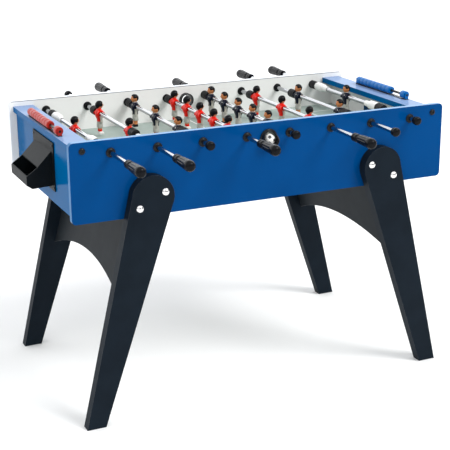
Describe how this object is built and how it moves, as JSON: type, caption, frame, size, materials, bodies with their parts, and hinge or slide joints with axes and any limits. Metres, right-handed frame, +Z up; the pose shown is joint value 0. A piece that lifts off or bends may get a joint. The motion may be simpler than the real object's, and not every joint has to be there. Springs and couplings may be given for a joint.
{
  "type": "foosball table",
  "caption": "Home table football game with a blue cabinet on splayed dark legs, through rods with player figures, ledge scorers and ball return boxes.",
  "frame": {"origin": "on the floor, under the middle of the whole object's box, which is 32.5 mm behind the middle of the playing field", "axes": "+X along the table from the viewer's left end to the right end, +Y from the front side to the rear side, +Z up"},
  "size_m": [1.378, 1.244, 0.8905],
  "materials": {
    "blue_laminate": "gloss blue laminate on fibreboard, off-white on the inside faces",
    "field_print": "satin pale green-grey board with printed white lines",
    "pine": "bare softwood",
    "leg_laminate": "satin charcoal laminate on fibreboard",
    "cross_laminate": "satin dark grey laminate on fibreboard",
    "black_plastic": "moulded black, lightly grained",
    "black_metal": "blackened steel",
    "bright_metal": "polished",
    "rod_steel": "chromed steel tube",
    "handle_plastic": "black, fluted",
    "rubber": "black, matt",
    "white_plastic": "white sleeve",
    "red_plastic": "red beads",
    "blue_plastic": "blue beads",
    "ball_white": "white with dark patches",
    "red_team": "painted red shirt and socks",
    "navy_team": "painted navy shirt",
    "figure_skin": "painted skin",
    "figure_hair": "painted black hair and boots",
    "figure_shorts": "painted pale shorts"
  },
  "bodies": {
    "cabinet": {"front_panel": "blue_laminate", "rear_panel": "blue_laminate", "left_end_panel": "blue_laminate", "right_end_panel": "blue_laminate", "left_ledge": "blue_laminate", "right_ledge": "blue_laminate", "playing_field": "field_print", "field_supports": "pine", "rod_bushings": "black_plastic", "feed_cups": "black_plastic", "ledge_bolts": "black_plastic", "left_ball_box": "black_plastic", "right_ball_box": "black_plastic", "ball_box_screws": "black_metal", "scorer_trays": "black_plastic", "scorer_rods": "black_metal", "left_legs": "leg_laminate", "right_legs": "leg_laminate", "left_cross_panel": "cross_laminate", "right_cross_panel": "cross_laminate", "leg_bolts": "bright_metal"},
    "left_bead_stack": {"left_bead_stack": "red_plastic"},
    "left_bead": {"left_bead": "red_plastic"},
    "right_bead_stack": {"right_bead_stack": "blue_plastic"},
    "right_bead": {"right_bead": "blue_plastic"},
    "ball": {"ball": "ball_white"},
    "rod_1_carriage": {"rod_1_bumpers": "rubber", "rod_1_spacers": "white_plastic"},
    "rod_1": {"rod_1_bar": "rod_steel", "rod_1_players": "red_team", "rod_1_handle": "handle_plastic"},
    "rod_2_carriage": {"rod_2_bumpers": "rubber"},
    "rod_2": {"rod_2_bar": "rod_steel", "rod_2_players": "red_team", "rod_2_handle": "handle_plastic"},
    "rod_3_carriage": {"rod_3_bumpers": "rubber"},
    "rod_3": {"rod_3_bar": "rod_steel", "rod_3_players": "navy_team", "rod_3_handle": "handle_plastic"},
    "rod_4_carriage": {"rod_4_bumpers": "rubber"},
    "rod_4": {"rod_4_bar": "rod_steel", "rod_4_players": "red_team", "rod_4_handle": "handle_plastic"},
    "rod_5_carriage": {"rod_5_bumpers": "rubber"},
    "rod_5": {"rod_5_bar": "rod_steel", "rod_5_players": "navy_team", "rod_5_handle": "handle_plastic"},
    "rod_6_carriage": {"rod_6_bumpers": "rubber"},
    "rod_6": {"rod_6_bar": "rod_steel", "rod_6_players": "red_team", "rod_6_handle": "handle_plastic"},
    "rod_7_carriage": {"rod_7_bumpers": "rubber"},
    "rod_7": {"rod_7_bar": "rod_steel", "rod_7_players": "navy_team", "rod_7_handle": "handle_plastic"},
    "rod_8_carriage": {"rod_8_bumpers": "rubber", "rod_8_spacers": "white_plastic"},
    "rod_8": {"rod_8_bar": "rod_steel", "rod_8_players": "navy_team", "rod_8_handle": "handle_plastic"}
  },
  "joints": [
    {"name": "rod_1_slide", "type": "slide", "parent": "cabinet", "child": "rod_1_carriage", "axis": [0, 1, 0], "range_m": [-0.0665, 0.0665]},
    {"name": "rod_1_spin", "type": "hinge", "parent": "rod_1_carriage", "child": "rod_1", "pos_m": [-0.504, -0.0325, 0.842], "axis": [0, 1, 0], "range_deg": [-225, 70]},
    {"name": "rod_2_slide", "type": "slide", "parent": "cabinet", "child": "rod_2_carriage", "axis": [0, 1, 0], "range_m": [-0.156, 0.064]},
    {"name": "rod_2_spin", "type": "hinge", "parent": "rod_2_carriage", "child": "rod_2", "pos_m": [-0.36, 0.0135, 0.842], "axis": [0, 1, 0], "continuous": true},
    {"name": "rod_3_slide", "type": "slide", "parent": "cabinet", "child": "rod_3_carriage", "axis": [0, 1, 0], "range_m": [-0.11, 0.014]},
    {"name": "rod_3_spin", "type": "hinge", "parent": "rod_3_carriage", "child": "rod_3", "pos_m": [-0.216, 0.0155, 0.842], "axis": [0, 1, 0], "continuous": true},
    {"name": "rod_4_slide", "type": "slide", "parent": "cabinet", "child": "rod_4_carriage", "axis": [0, 1, 0], "range_m": [-0.056, 0.012]},
    {"name": "rod_4_spin", "type": "hinge", "parent": "rod_4_carriage", "child": "rod_4", "pos_m": [-0.072, -0.0105, 0.842], "axis": [0, 1, 0], "continuous": true},
    {"name": "rod_5_slide", "type": "slide", "parent": "cabinet", "child": "rod_5_carriage", "axis": [0, 1, 0], "range_m": [-0.067, 0.001]},
    {"name": "rod_5_spin", "type": "hinge", "parent": "rod_5_carriage", "child": "rod_5", "pos_m": [0.072, 0.0005, 0.842], "axis": [0, 1, 0], "continuous": true},
    {"name": "rod_6_slide", "type": "slide", "parent": "cabinet", "child": "rod_6_carriage", "axis": [0, 1, 0], "range_m": [-0.061, 0.063]},
    {"name": "rod_6_spin", "type": "hinge", "parent": "rod_6_carriage", "child": "rod_6", "pos_m": [0.216, -0.0335, 0.842], "axis": [0, 1, 0], "continuous": true},
    {"name": "rod_7_slide", "type": "slide", "parent": "cabinet", "child": "rod_7_carriage", "axis": [0, 1, 0], "range_m": [-0.116, 0.104]},
    {"name": "rod_7_spin", "type": "hinge", "parent": "rod_7_carriage", "child": "rod_7", "pos_m": [0.36, -0.0265, 0.842], "axis": [0, 1, 0], "continuous": true},
    {"name": "rod_8_slide", "type": "slide", "parent": "cabinet", "child": "rod_8_carriage", "axis": [0, 1, 0], "range_m": [-0.1315, 0.0015]},
    {"name": "rod_8_spin", "type": "hinge", "parent": "rod_8_carriage", "child": "rod_8", "pos_m": [0.504, 0.0325, 0.842], "axis": [0, 1, 0], "range_deg": [-70, 225]},
    {"name": "left_stack_slide", "type": "slide", "parent": "cabinet", "child": "left_bead_stack", "axis": [0, 1, 0], "range_m": [-0.03, 0.0055]},
    {"name": "left_bead_slide", "type": "slide", "parent": "cabinet", "child": "left_bead", "axis": [0, 1, 0], "range_m": [-0.001, 0.033]},
    {"name": "right_stack_slide", "type": "slide", "parent": "cabinet", "child": "right_bead_stack", "axis": [0, 1, 0], "range_m": [-0.03, 0.0055]},
    {"name": "right_bead_slide", "type": "slide", "parent": "cabinet", "child": "right_bead", "axis": [0, 1, 0], "range_m": [-0.001, 0.033]},
    {"name": "ball_feed", "type": "slide", "parent": "cabinet", "child": "ball", "axis": [0, 1, 0], "range_m": [0, 0.045]}
  ]
}
